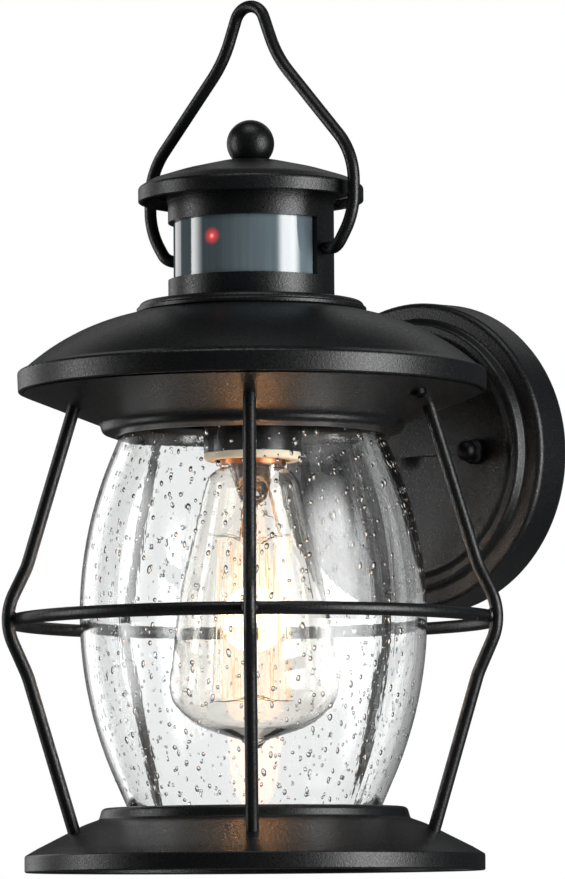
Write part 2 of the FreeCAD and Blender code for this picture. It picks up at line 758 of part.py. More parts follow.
def base():
    """Spun ring: a rim, a low dome, a collar round the glass and a seat inside it."""
    collar, rim = "base_collar_radius", "base_rim_height"
    top = [
        ("base_radius", "0", "0.8"), ("base_radius", rim, "1"), ("base_radius - 5.2", f"{rim} + 3", "20"),
        (f"{collar} + 6.4", "base_seat - 1.8", "40"), (f"{collar} + 0.2", "base_seat + 0.4", "1.2"),
        (f"{collar} - 1", "base_collar_top", "2.2"), (f"{collar} - 5.6", "base_collar_top", "1.4"),
        (f"{collar} - 5.6", "base_seat"), ("base_opening", "base_seat", "0.4"),
    ]
    under = [
        ("base_opening", "base_seat - base_wall", "0.4"), (f"{collar} + 3", "base_seat - base_wall", "2"),
        ("base_radius - 7", f"{rim} + 1", "3"), ("base_radius - base_wall", f"{rim} - 1.8", "1"),
        ("base_radius - base_wall", "0", "0.8"),
    ]
    keep(turned("base", top + under), "base")


# ---------------------------------------------------------------- sensor head

def sensor_housing():
    tube = turned("sensor_housing", [
        ("rod_radius", "collar_top"), ("head_radius", "collar_top", "0.8"), ("head_radius", "head_top"),
        ("head_inner_radius", "head_top"), ("head_inner_radius", "collar_top + 2"), ("7", "collar_top + 2"),
        ("7", "collar_top + 8", "0.8"), ("rod_radius", "collar_top + 8"),
    ])
    height = "window_top - window_bottom"
    window = block(("80", "50", height), ("0", behind("-25.6"), above("(window_top + window_bottom) / 2")))
    room = rod("head_inner_radius", "60", ("0", behind("0"), above("collar_top + 2")))
    opening = doc.addObject("Part::Cut", "Window")
    opening.Base, opening.Tool = window, room
    bores = []
    for side, direction in (("", Vector(-1, 0, 0)), ("-", Vector(1, 0, 0))):
        start = (f"{side}(head_radius + 2)", behind("bail_setback"), above("bail_pivot_height"))
        bores.append(rod("bail_wire_radius + thread_clearance", "9", start, direction))
    cut("sensor_housing", tube, [opening] + bores + housing_screw_holes("collar_top - 2", "1.5"))


def housing_screws():
    pieces = []
    seat = "roof_top - roof_wall - sheet_metal - 0.1"
    for x, y in housing_screw_places():
        pieces.append(turned("housing_screw", [
            ("0", "roof_top - 6"), ("2.6", "roof_top - 6", "0.8"), ("2.6", seat),
            ("1.5", seat), ("1.5", "collar_top + 4"), ("0", "collar_top + 4"),
        ], (x, y, above("0"))))
    joined("housing_screws", pieces)


def lens():
    """Half-round window in front of the detector, its edges tucked inside the housing."""
    low, height = above("window_bottom - 2"), "window_top - window_bottom + 4"
    outer = rod("lens_radius", height, ("0", behind("0"), low))
    inner = rod("lens_radius - lens_wall", height, ("0", behind("0"), low))
    rear = block(("80", "60", "60"), ("0", behind("29.2"), above("window_bottom")))
    cut("sensor_lens", outer, [inner, rear])


def electronics():
    middle = "(window_top + window_bottom) / 2"
    board = block(("40", "1.6", "19"), ("0", behind("-9"), above(middle)))
    keep(board, "sensor_board")
    detector = turned("pir_detector", [
        ("0", "0"), ("4.8", "0"), ("4.8", "-0.5"), ("4.1", "-0.5"), ("4.1", "-4.2", "0.6"), ("0", "-4.2"),
    ], ("-1", behind("-9.8"), above("window_bottom + 8.4")), "XY_Plane")
    keep(detector, "pir_detector")
    led = turned("status_led", [
        ("0", "0"), ("1.8", "0"), ("1.8", "-13"), ("1.5", "-13"), ("1.5", "-17.2", "1.4"), ("0", "-17.2"),
    ], ("led_offset", behind("-9.8"), above("led_height")), "XY_Plane")
    keep(led, "status_led")
    eye = turned("photocell", [
        ("0", "0"), ("2.5", "0"), ("2.5", "-2", "0.3"), ("0", "-2"),
    ], ("10.5", behind("-9.8"), above("led_height")), "XY_Plane")
    keep(eye, "photocell")
    relay = block(("19", "13", "15"), ("0", behind("14.5"), above("collar_top + 11.5")))
    can = rod("4", "16", ("15", behind("13"), above("collar_top + 4")))
    joined("driver_module", [relay, can])


# ---------------------------------------------------------------- top cap, ball and handle

def top_cap():
    keep(turned("top_cap", [
        ("brim_radius - 1.5", "head_top", "0.4"), ("brim_radius", "head_top", "0.5"),
        ("brim_radius", "brim_top", "1.6"), ("brim_radius - 4.6", "brim_top + 2.9", "12"),
        ("27", "cap_top - 4", "60"), ("12", "cap_top - 0.5", "12"), ("8", "cap_top", "3"),
        ("rod_radius", "cap_top"), ("rod_radius", "cap_top - 2"), ("10", "cap_top - 2.3", "10"),
        ("26.6", "cap_top - 6", "5"), ("head_inner_radius - 2", "cap_top - 9"),
        ("head_inner_radius - 2", "head_top - 4"), ("head_inner_radius - 0.2", "head_top - 4"),
        ("head_inner_radius - 0.2", "head_top"), ("head_radius + 0.6", "head_top"),
        ("head_radius + 0.6", "brim_top + 2.2", "1"), ("brim_radius - 5", "brim_top + 0.6", "3"),
        ("brim_radius - 1.8", "brim_top - 1.4", "0.8"),
    ]), "top_cap")


def cap_rod():
    foot = ("0", behind("0"), above("collar_top + 1"))
    keep(rod("rod_radius", "ball_height - collar_top + 1", foot), "cap_rod")


def ball():
    sphere = doc.addObject("Part::Sphere", "Ball")
    bind(sphere, Radius="ball_radius")
    place(sphere, ("0", behind("0"), above("ball_height")))
    foot = block(("40", "40", "20"), ("0", behind("0"), above("cap_top - 9.95")))
    bottom = ("0", behind("0"), above("ball_height + 2.4 - ball_radius"))
    bore = rod("rod_radius + thread_clearance", "ball_radius", bottom)
    cut("finial_ball", sphere, [foot, bore])


def spine(corners):
    """A path in space through (x, y, z[, radius]) corners, straight between its rounded bends."""
    points = [Vector(*(value(text) for text in corner[:3])) for corner in corners]
    edges, start = [], points[0]
    for before, at, after, corner in zip(points, points[1:], points[2:], corners[1:]):
        leave, middle, rejoin = corner_cut(before, at, after, value(corner[3]))
        edges += [Part.LineSegment(start, leave).toShape(), Part.Arc(leave, middle, rejoin).toShape()]
        start = rejoin
    return Part.Wire(edges + [Part.LineSegment(start, points[-1]).toShape()])


def bail():
    """Wire handle: a rounded peak, flared legs, and ends that turn back to the pins in the housing."""
    pivot, back = "bail_pivot_height", "bail_setback"
    right = [
        ("bail_neck_reach", "0", "bail_peak - bail_neck_drop", "46"),
        ("bail_reach", "0", "bail_shoulder_height", "28"),
        ("bail_reach", "0", "bail_hip_height", "28"),
        ("bail_foot_reach", "0", f"{pivot} - 0.4", "6"),
        ("bail_pin_reach", back, pivot, "4.5"),
        ("head_inner_radius - 2", back, pivot),
    ]
    left = [("-(" + corner[0] + ")",) + corner[1:] for corner in reversed(right)]
    path = doc.addObject("Part::Feature", "HandlePath")
    path.Shape = spine(left + [("0", "0", "bail_peak", "7.2")] + right)
    section = doc.addObject("Part::Circle", "WireSection")
    bind(section, Radius="bail_wire_radius")
    place(section, left[0][:3], Rotation(Vector(0, 0, 1), Vector(1, 0, 0)))
    handle = doc.addObject("Part::Sweep", "Handle")
    handle.Sections = [section]
    handle.Spine = path
    handle.Solid = True
    place(handle, LANTERN)
    keep(handle, "bail")


# ---------------------------------------------------------------- build, check and write

def check():
    """Stop if any object failed, or a sub-part has no sound solid."""
    failed = [item.Label for item in doc.Objects if "Invalid" in item.State or "Error" in item.State]
    if failed:
        raise RuntimeError("failed objects: " + ", ".join(failed))
    for label, node in sub_parts.items():
        shape = node.Shape
        if shape.isNull() or not shape.isValid() or not shape.Solids or shape.Volume <= 0:
            raise RuntimeError(f"{label} has no sound solid")


def main():
    for build in (
        wall_bar, ground_screw, wall_plate, canopy_fixings, arm, roof, collar, pan, pan_screws,
        hanger, nipple, lamp_holder, bulb, filament, shade, cage, base, sensor_housing,
        housing_screws, lens, electronics, top_cap, cap_rod, ball, bail,
    ):
        build()
        doc.recompute()
    check()
    os.makedirs("parts", exist_ok=True)
    for label, node in sub_parts.items():
        node.Shape.exportStep(f"parts/{label}.step")
    print(len(sub_parts), "sub-parts written")


main()
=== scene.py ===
"""Outdoor wall lantern: finishes and fine pieces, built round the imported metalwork."""
import math
import random

import bmesh
import bpy
from mathutils import Matrix, Vector


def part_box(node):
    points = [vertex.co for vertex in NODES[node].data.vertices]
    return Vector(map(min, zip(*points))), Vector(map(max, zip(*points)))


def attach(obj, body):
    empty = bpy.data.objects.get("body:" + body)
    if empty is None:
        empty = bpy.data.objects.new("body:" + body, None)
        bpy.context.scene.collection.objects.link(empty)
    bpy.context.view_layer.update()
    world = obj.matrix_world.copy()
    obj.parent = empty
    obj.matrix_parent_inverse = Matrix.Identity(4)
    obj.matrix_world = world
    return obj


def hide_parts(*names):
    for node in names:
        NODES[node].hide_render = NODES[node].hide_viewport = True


bl_info = {
    "name": "Wall Lantern",
    "version": (1, 0, 0),
    "blender": (4, 5, 0),
    "location": "View3D > Sidebar > Lantern",
    "description": "Dresses an outdoor wall lantern in its finishes and adds its fine pieces",
    "category": "Add Mesh",
}

MM = 0.001
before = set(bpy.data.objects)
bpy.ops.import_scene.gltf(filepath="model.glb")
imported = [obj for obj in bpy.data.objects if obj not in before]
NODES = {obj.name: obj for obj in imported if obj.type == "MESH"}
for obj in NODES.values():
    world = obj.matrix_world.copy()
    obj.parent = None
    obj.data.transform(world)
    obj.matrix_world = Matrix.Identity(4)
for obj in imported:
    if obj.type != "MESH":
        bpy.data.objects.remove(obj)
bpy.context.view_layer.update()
FIXED = "lantern"
BULB = "bulb"

CAMERA_AZIMUTH = 36.8  # degrees
CAGE_RING_WIRE = 2.5  # radius of the ring's wire, in millimetres
SCREW_PITCH = 3.6  # of the bulb's thread, in millimetres
SCREW_STEPS = 48  # corners round each thread

UP = Vector((0, 0, 1))
OUTWARD = Vector((0, -1, 0))


def middle(node):
    """Centre of a CAD node's box."""
    low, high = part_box(node)
    return (low + high) / 2


AXIS = Vector((middle("roof").x, middle("roof").y, 0))
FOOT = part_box("base")[0].z
SHADE_LOW, SHADE_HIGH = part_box("glass_shade")
CAP_LOW, CAP_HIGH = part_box("bulb_cap")
LENS_LOW, LENS_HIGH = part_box("sensor_lens")


# ---------------------------------------------------------------- colours and nodes

def srgb(text):
    """A hex colour as linear red, green, blue and alpha."""
    channels = [int(text[k:k + 2], 16) / 255 for k in (1, 3, 5)]
    return tuple(c / 12.92 if c <= 0.04045 else ((c + 0.055) / 1.055) ** 2.4 for c in channels) + (1,)


def add_node(tree, kind, inputs=None, **settings):
    """Adds a node: settings are its own properties, inputs are values or sockets to link."""
    node = tree.nodes.new(kind)
    for name, setting in settings.items():
        setattr(node, name, setting)
    for name, value in (inputs or {}).items():
        if isinstance(value, bpy.types.NodeSocket):
            tree.links.new(value, node.inputs[name])
        else:
            node.inputs[name].default_value = value
    return node


def per_mm(size):
    """Texture scale at which one grain of a pattern is that many millimetres."""
    return 1 / (size * MM)


def start_finish(name):
    """An empty material with its node tree and the place in space that its patterns use."""
    material = bpy.data.materials.new(name)
    material.use_nodes = True
    tree = material.node_tree
    tree.nodes.clear()
    return material, tree, add_node(tree, "ShaderNodeTexCoord").outputs["Object"]


def show(tree, shader):
    """Links a shader to the material's surface."""
    add_node(tree, "ShaderNodeOutputMaterial", {"Surface": shader})


# ---------------------------------------------------------------- finishes

def powder_coat(look):
    """Black polyester powder coat on steel, sprayed and baked: a fine sandy skin that breaks up
    each highlight into small sparks and never shines like wet paint."""
    material, tree, place = start_finish("black_powder_coat")
    grain = add_node(tree, "ShaderNodeTexNoise", {
        "Vector": place, "Scale": per_mm(look.coat_grain), "Detail": 2, "Roughness": 0.6})
    pits = add_node(tree, "ShaderNodeTexVoronoi", {
        "Vector": place, "Scale": per_mm(look.coat_grain * 1.7)})
    height = add_node(tree, "ShaderNodeMix", {
        "Factor": 0.35, "A": grain.outputs["Fac"], "B": pits.outputs["Distance"]})
    bump = add_node(tree, "ShaderNodeBump", {
        "Strength": 0.8, "Distance": 0.13 * MM, "Height": height.outputs["Result"]})
    cloud = add_node(tree, "ShaderNodeTexNoise", {"Vector": place, "Scale": per_mm(22), "Detail": 3})
    colour = add_node(tree, "ShaderNodeMix", {
        "Factor": cloud.outputs["Fac"], "A": srgb("#0B0C0D"), "B": tuple(look.coat_colour)}, data_type="RGBA")
    rough = add_node(tree, "ShaderNodeMapRange", {
        "Value": grain.outputs["Fac"], "From Min": 0.35, "From Max": 0.65, "To Min": 0.25, "To Max": 0.46})
    shader = add_node(tree, "ShaderNodeBsdfPrincipled", {
        "Base Color": colour.outputs["Result"], "Roughness": rough.outputs["Result"],
        "Normal": bump.outputs["Normal"], "IOR": 1.5, "Specular IOR Level": 0.5})
    show(tree, shader.outputs["BSDF"])
    return material


def plated_steel(name, look_colour, dark, roughness, scratch=0.4):
    """Plated steel hardware, drawn or stamped: a bright metal with fine drawing lines."""
    material, tree, place = start_finish(name)
    stretch = add_node(tree, "ShaderNodeMapping", {"Vector": place, "Scale": (1, 1, 0.15)})
    lines = add_node(tree, "ShaderNodeTexNoise", {
        "Vector": stretch.outputs["Vector"], "Scale": per_mm(scratch), "Detail": 2})
    colour = add_node(tree, "ShaderNodeMix", {
        "Factor": lines.outputs["Fac"], "A": srgb(dark), "B": srgb(look_colour)}, data_type="RGBA")
    bump = add_node(tree, "ShaderNodeBump", {
        "Strength": 0.15, "Distance": 0.03 * MM, "Height": lines.outputs["Fac"]})
    rough = add_node(tree, "ShaderNodeMapRange", {
        "Value": lines.outputs["Fac"], "To Min": roughness - 0.08, "To Max": roughness + 0.1})
    shader = add_node(tree, "ShaderNodeBsdfPrincipled", {
        "Base Color": colour.outputs["Result"], "Roughness": rough.outputs["Result"],
        "Metallic": 1.0, "Normal": bump.outputs["Normal"]})
    show(tree, shader.outputs["BSDF"])
    return material


def clear_glass(name, tint, wave, wave_height, ripple, ripple_height, ior):
    """Blown soda glass: clear, a little uneven in thickness, so what stands behind it wavers.
    Lamp light passes straight through for shadows."""
    material, tree, place = start_finish(name)
    drawn = add_node(tree, "ShaderNodeMapping", {"Vector": place, "Scale": (1, 1, 0.45)})
    streaked = add_node(tree, "ShaderNodeMapping", {"Vector": place, "Scale": (1, 1, 0.14)})
    sag = add_node(tree, "ShaderNodeTexNoise", {
        "Vector": drawn.outputs["Vector"], "Scale": per_mm(wave), "Detail": 1})
    slow = add_node(tree, "ShaderNodeBump", {
        "Strength": 1.0, "Distance": wave_height * MM, "Height": sag.outputs["Fac"]})
    skin = add_node(tree, "ShaderNodeTexNoise", {
        "Vector": streaked.outputs["Vector"], "Scale": per_mm(ripple), "Detail": 2})
    bump = add_node(tree, "ShaderNodeBump", {
        "Strength": 1.0, "Distance": ripple_height * MM, "Height": skin.outputs["Fac"],
        "Normal": slow.outputs["Normal"]})
    glass = add_node(tree, "ShaderNodeBsdfPrincipled", {
        "Base Color": srgb(tint), "Roughness": 0.0, "IOR": ior, "Transmission Weight": 1.0,
        "Normal": bump.outputs["Normal"]})
    open_air = add_node(tree, "ShaderNodeBsdfTransparent", {"Color": srgb(tint)})
    rays = add_node(tree, "ShaderNodeLightPath")
    mix = add_node(tree, "ShaderNodeMixShader", {0: rays.outputs["Is Shadow Ray"]})
    tree.links.new(glass.outputs["BSDF"], mix.inputs[1])
    tree.links.new(open_air.outputs["BSDF"], mix.inputs[2])
    show(tree, mix.outputs["Shader"])
    return material


def moulded(name, colour, shade, roughness, grain, relief, coat=0.0):
    """Moulded or fired body: one colour with a faint cloud and a fine skin."""
    material, tree, place = start_finish(name)
    cloud = add_node(tree, "ShaderNodeTexNoise", {"Vector": place, "Scale": per_mm(grain * 12), "Detail": 3})
    tone = add_node(tree, "ShaderNodeMix", {
        "Factor": cloud.outputs["Fac"], "A": srgb(shade), "B": srgb(colour)}, data_type="RGBA")
    skin = add_node(tree, "ShaderNodeTexNoise", {"Vector": place, "Scale": per_mm(grain), "Detail": 2})
    bump = add_node(tree, "ShaderNodeBump", {
        "Strength": 0.4, "Distance": relief * MM, "Height": skin.outputs["Fac"]})
    rough = add_node(tree, "ShaderNodeMapRange", {
        "Value": cloud.outputs["Fac"], "To Min": max(0.02, roughness - 0.06), "To Max": roughness + 0.06})
    shader = add_node(tree, "ShaderNodeBsdfPrincipled", {
        "Base Color": tone.outputs["Result"], "Roughness": rough.outputs["Result"],
        "Normal": bump.outputs["Normal"], "Coat Weight": coat, "Coat Roughness": 0.05})
    show(tree, shader.outputs["BSDF"])
    return material


def lit_wire(look):
    """Hot tungsten coil: its glare is near white over a bright ground, amber over a dark one."""
    material, tree, place = start_finish("glowing_tungsten")
    upright = add_node(tree, "ShaderNodeMapping", {"Vector": place, "Scale": (1, 1, 0.08)})
    heat = add_node(tree, "ShaderNodeTexNoise", {
        "Vector": upright.outputs["Vector"], "Scale": per_mm(1.6), "Detail": 1})
    tone = add_node(tree, "ShaderNodeMapRange", {
        "Value": heat.outputs["Fac"], "From Min": 0.4, "From Max": 0.6})
    colour = add_node(tree, "ShaderNodeMix", {
        "Factor": tone.outputs["Result"], "A": srgb("#F6C894"), "B": srgb("#FFF1DA")}, data_type="RGBA")
    shader = add_node(tree, "ShaderNodeBsdfPrincipled", {
        "Base Color": srgb("#2A1608"), "Roughness": 0.6, "Alpha": 0.6,
        "Emission Color": colour.outputs["Result"], "Emission Strength": look.filament_glow})
    show(tree, shader.outputs["BSDF"])
    return material


def smoky_lens(look, spot):
    """Tinted polycarbonate window, polished in its mould: lighter upright bands are painted into its colour
    as a painted reflection of the room, and the indicator behind it shows as a soft red spot."""
    material, tree, place = start_finish("smoky_polycarbonate")
    # painted reflection: the window's colour swings between a darker and a lighter tint in upright bands that
    # stand in for the room mirrored in it
    upright = add_node(tree, "ShaderNodeMapping", {"Vector": place, "Scale": (1, 1, 0.03)})
    painted_reflection_bands = add_node(tree, "ShaderNodeTexNoise", {
        "Vector": upright.outputs["Vector"], "Scale": per_mm(2.4), "Detail": 2})
    tint_and_painted_reflection = add_node(tree, "ShaderNodeMix", {
        "Factor": painted_reflection_bands.outputs["Fac"], "A": srgb("#526067"), "B": tuple(look.lens_colour)},
        data_type="RGBA")
    away = add_node(tree, "ShaderNodeVectorMath", {0: place, 1: spot}, operation="DISTANCE")
    halo = add_node(tree, "ShaderNodeMapRange", {
        "Value": away.outputs["Value"], "From Min": 0.4 * MM, "From Max": look.indicator_halo * MM,
        "To Min": 1.0, "To Max": 0.0}, interpolation_type="SMOOTHERSTEP")
    core = add_node(tree, "ShaderNodeMapRange", {
        "Value": away.outputs["Value"], "From Min": 0.2 * MM, "From Max": 1.3 * MM,
        "To Min": 1.0, "To Max": 0.0}, interpolation_type="SMOOTHSTEP")
    red = add_node(tree, "ShaderNodeMix", {
        "Factor": core.outputs["Result"], "A": srgb("#D8141A"), "B": srgb("#FF9C96")}, data_type="RGBA")
    shader = add_node(tree, "ShaderNodeBsdfPrincipled", {
        "Base Color": tint_and_painted_reflection.outputs["Result"], "Roughness": 0.09, "IOR": 1.58, "Coat Weight": 1.0,
        "Coat Roughness": 0.03, "Emission Color": red.outputs["Result"],
        "Emission Strength": halo.outputs["Result"]})
    show(tree, shader.outputs["BSDF"])
    return material


def backdrop_paper():
    """Matt white studio paper."""
    material, tree, place = start_finish("studio_paper")
    fibre = add_node(tree, "ShaderNodeTexNoise", {"Vector": place, "Scale": per_mm(3), "Detail": 3})
    tone = add_node(tree, "ShaderNodeMix", {
        "Factor": fibre.outputs["Fac"], "A": srgb("#ECECEB"), "B": srgb("#F4F4F3")}, data_type="RGBA")
    shader = add_node(tree, "ShaderNodeBsdfPrincipled", {
        "Base Color": tone.outputs["Result"], "Roughness": 0.9})
    show(tree, shader.outputs["BSDF"])
    return material


FINISHES = {}


def finish(name):
    """A finish by its name, made once."""
    if name not in FINISHES:
        look = bpy.context.scene.lantern_look
        makers = {
            "coat": lambda: powder_coat(look),
            "zinc": lambda: plated_steel("zinc_plated_steel", "#C9CCD0", "#8F9398", 0.32),
            "black_zinc": lambda: plated_steel("black_zinc_steel", "#2A2A2C", "#121213", 0.42),
            "green_zinc": lambda: plated_steel("green_dyed_zinc", "#3E8F55", "#235C35", 0.4),
            "copper": lambda: plated_steel("tarnished_copper", "#C98A62", "#8A4E30", 0.3, 0.8),
            "tin": lambda: plated_steel("soft_solder", "#B9BABC", "#8C8D90", 0.38, 1.2),
            "nickel": lambda: plated_steel("nickel_wire", "#A9A298", "#6A645B", 0.35, 0.8),
            "amber_wire": lambda: plated_steel("heat_tinted_wire", "#D9A25C", "#7A4E22", 0.35, 0.9),
            "shade_glass": lambda: clear_glass(
                "seeded_glass", "#FBFCFC", look.glass_wave, 0.065, 2.6, 0.022, 1.5),
            "bulb_glass": lambda: clear_glass("blown_bulb_glass", "#FFFDF9", 24, 0.02, 9, 0.004, 1.46),
            "filament": lambda: lit_wire(look),
            "phenolic": lambda: moulded("black_phenolic", "#101011", "#08080A", 0.24, 0.6, 0.02),
            "ceramic": lambda: moulded("cream_porcelain", "#E2D6BE", "#CBBC9F", 0.55, 0.4, 0.03),
            "silicone": lambda: moulded("black_silicone", "#1B1B1C", "#101011", 0.45, 0.5, 0.02),
            "foam": lambda: moulded("closed_cell_foam", "#242425", "#151516", 0.9, 0.7, 0.15),
            "board": lambda: moulded("green_solder_mask", "#1F6B3B", "#14492A", 0.35, 0.5, 0.02, 0.4),
            "relay": lambda: moulded("blue_relay_case", "#2E5FA8", "#24508F", 0.4, 0.5, 0.02),
            "photocell": lambda: moulded("resin_coated_cell", "#D9A066", "#B8763E", 0.3, 0.4, 0.02, 0.6),
            "led": lambda: moulded("red_epoxy", "#E01B1B", "#B01010", 0.15, 0.6, 0.01, 0.8),
        }
        FINISHES[name] = makers[name]()
    return FINISHES[name]


def dress(name, *nodes):
    """Gives carried-over CAD nodes their finish."""
    for node in nodes:
        data = NODES[node].data
        data.materials.clear()
        data.materials.append(finish(name))


# ---------------------------------------------------------------- shapes

def piece(name, shape, look, body, slot, *nodes, sharp=35):
    """Turns a bmesh into a finished piece that rides on its body and stands for CAD nodes."""
    mesh = bpy.data.meshes.new(name)
    shape.to_mesh(mesh)
    shape.free()
    mesh.shade_smooth()
    mesh.set_sharp_from_angle(angle=math.radians(sharp))
    mesh.materials.append(finish(look))
    made = bpy.data.objects.new(name, mesh)
    bpy.context.scene.collection.objects.link(made)
    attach(made, body)
    if nodes:
        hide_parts(*nodes)
    return made


def join_rings(shape, first, second):
    """A band of quads between two rings of the same number of corners."""
    count = len(first)
    for k in range(count):
        after = (k + 1) % count
        shape.faces.new((first[k], first[after], second[after], second[k]))


def grid_round(shape, rings):
    """Joins rings of points, each a list of the same length, into quads."""
    made = [[shape.verts.new(point) for point in ring] for ring in rings]
    for low, high in zip(made, made[1:]):
        join_rings(shape, low, high)
    return made


def cap_ring(shape, ring):
    """Closes the end of a turned shape with one flat face."""
    shape.faces.new(ring)


def circle_points(radius, height, steps, frame_of):
    """Points of a circle, placed by a matrix whose third axis is the circle's own."""
    for k in range(steps):
        angle = 2 * math.pi * k / steps
        yield frame_of @ Vector((radius * math.cos(angle), radius * math.sin(angle), height))


def facing(place, direction):
    """A matrix at a point whose third axis points along a direction."""
    return Matrix.Translation(place) @ direction.to_track_quat("Z", "Y").to_matrix().to_4x4()


def thread(shape, place, radius, depth, pitch, low, high, steps=SCREW_STEPS, per_turn=10):
    """A threaded cylinder: its surface rises and falls once a pitch, and once more round each turn."""
    count = max(2, round((high - low) / pitch * per_turn))
    rings = []
    for row in range(count + 1):
        height = low + (high - low) * row / count
        ring = []
        for k in range(steps):
            turn = k / steps
            wave = 0.5 + 0.5 * math.cos(2 * math.pi * (height / pitch - turn))
            reach = (radius - depth * wave) * MM
            angle = 2 * math.pi * turn
            ring.append(place @ Vector((reach * math.cos(angle), reach * math.sin(angle), height * MM)))
        rings.append(ring)
    return grid_round(shape, rings)


def tubes(paths, radius, steps=2, nurbs=False):
    """Round wires along point lists, as one bmesh."""
    curve = bpy.data.curves.new("wires", "CURVE")
    curve.dimensions = "3D"
    curve.bevel_depth = radius
    curve.bevel_resolution = steps
    curve.use_fill_caps = True
    for path in paths:
        spline = curve.splines.new("NURBS" if nurbs else "POLY")
        spline.points.add(len(path) - 1)
        for point, at in zip(spline.points, path):
            point.co = (*at, 1)
        if nurbs:
            spline.order_u = 3
            spline.use_endpoint_u = True
            spline.resolution_u = 4
    holder = bpy.data.objects.new("wires", curve)
    mesh = bpy.data.meshes.new_from_object(holder)
    shape = bmesh.new()
    shape.from_mesh(mesh)
    bpy.data.objects.remove(holder)
    bpy.data.curves.remove(curve)
    bpy.data.meshes.remove(mesh)
    return shape


def wall_profile(node):
    """Outer and inner radius of a turned shell at each height, as a function of the height."""
    samples = sorted({
        (round(v.co.z, 5), round((Vector((v.co.x, v.co.y, 0)) - AXIS).length, 5))
        for v in NODES[node].data.vertices
    })

    def radii(height):
        near = [r for z, r in samples if abs(z - height) < 2.5 * MM]
        split = (max(near) + min(near)) / 2
        outer = [r for r in near if r > split]
        inner = [r for r in near if r <= split]
        return sum(outer) / len(outer), sum(inner) / len(inner)

    return radii


# ---------------------------------------------------------------- settings

class LanternLook(bpy.types.PropertyGroup):
    """Colours and patterns."""
    coat_colour: bpy.props.FloatVectorProperty(
        name="Coat", description="Powder coat colour", subtype="COLOR", size=4, min=0, max=1,
        default=srgb("#141517"))
    coat_grain: bpy.props.FloatProperty(
        name="Coat grain", description="Width of one grain of the powder coat, in millimetres",
        default=0.55, min=0.1)
    # the lighter of the window's two tints, used for its painted reflection bands
    lens_colour: bpy.props.FloatVectorProperty(
        name="Lens", description="Sensor window colour", subtype="COLOR", size=4, min=0, max=1,
        default=srgb("#7F8F96"))
    indicator_halo: bpy.props.FloatProperty(
        name="Indicator halo", description="Radius of the red spot on the window, in millimetres",
        default=4.2, min=1)
    filament_glow: bpy.props.FloatProperty(
        name="Filament glow", description="Brightness of the hot strands", default=1.25, min=0)
    glass_wave: bpy.props.FloatProperty(
        name="Glass wave", description="Width of the glass's uneven waves, in millimetres", default=19, min=2)


class LanternSizes(bpy.types.PropertyGroup):
    """Counts and sizes of the fine pieces."""
    seeds: bpy.props.IntProperty(
        name="Seeds", description="Air bubbles in the glass shade", default=1650, min=0)
    seed_radius: bpy.props.FloatProperty(
        name="Seed radius", description="Radius of the largest common bubble",
        subtype="DISTANCE", unit="LENGTH", default=1.02 * MM)
    strands: bpy.props.IntProperty(name="Strands", description="Upright filament strands", default=24, min=4)
    strand_radius: bpy.props.FloatProperty(
        name="Strand radius", description="Radius of a filament strand",
        subtype="DISTANCE", unit="LENGTH", default=0.24 * MM)
    knurls: bpy.props.IntProperty(name="Knurls", description="Teeth round a thumb nut", default=34, min=8)
    key_power: bpy.props.FloatProperty(
        name="Key", description="Right softbox, in watts", default=30, min=0)
    fill_power: bpy.props.FloatProperty(
        name="Fill", description="Left softbox, in watts", default=10.5, min=0)
    rear_power: bpy.props.FloatProperty(
        name="Rear", description="Rear left softbox, in watts", default=3, min=0)
    top_power: bpy.props.FloatProperty(
        name="Top", description="Overhead softbox, in watts", default=5, min=0)
    sky_power: bpy.props.FloatProperty(
        name="Sky", description="High rear softbox, in watts", default=1.7, min=0)
    bulb_power: bpy.props.FloatProperty(
        name="Bulb", description="Light given by the filament, in watts", default=0.06, min=0)


# ---------------------------------------------------------------- operators

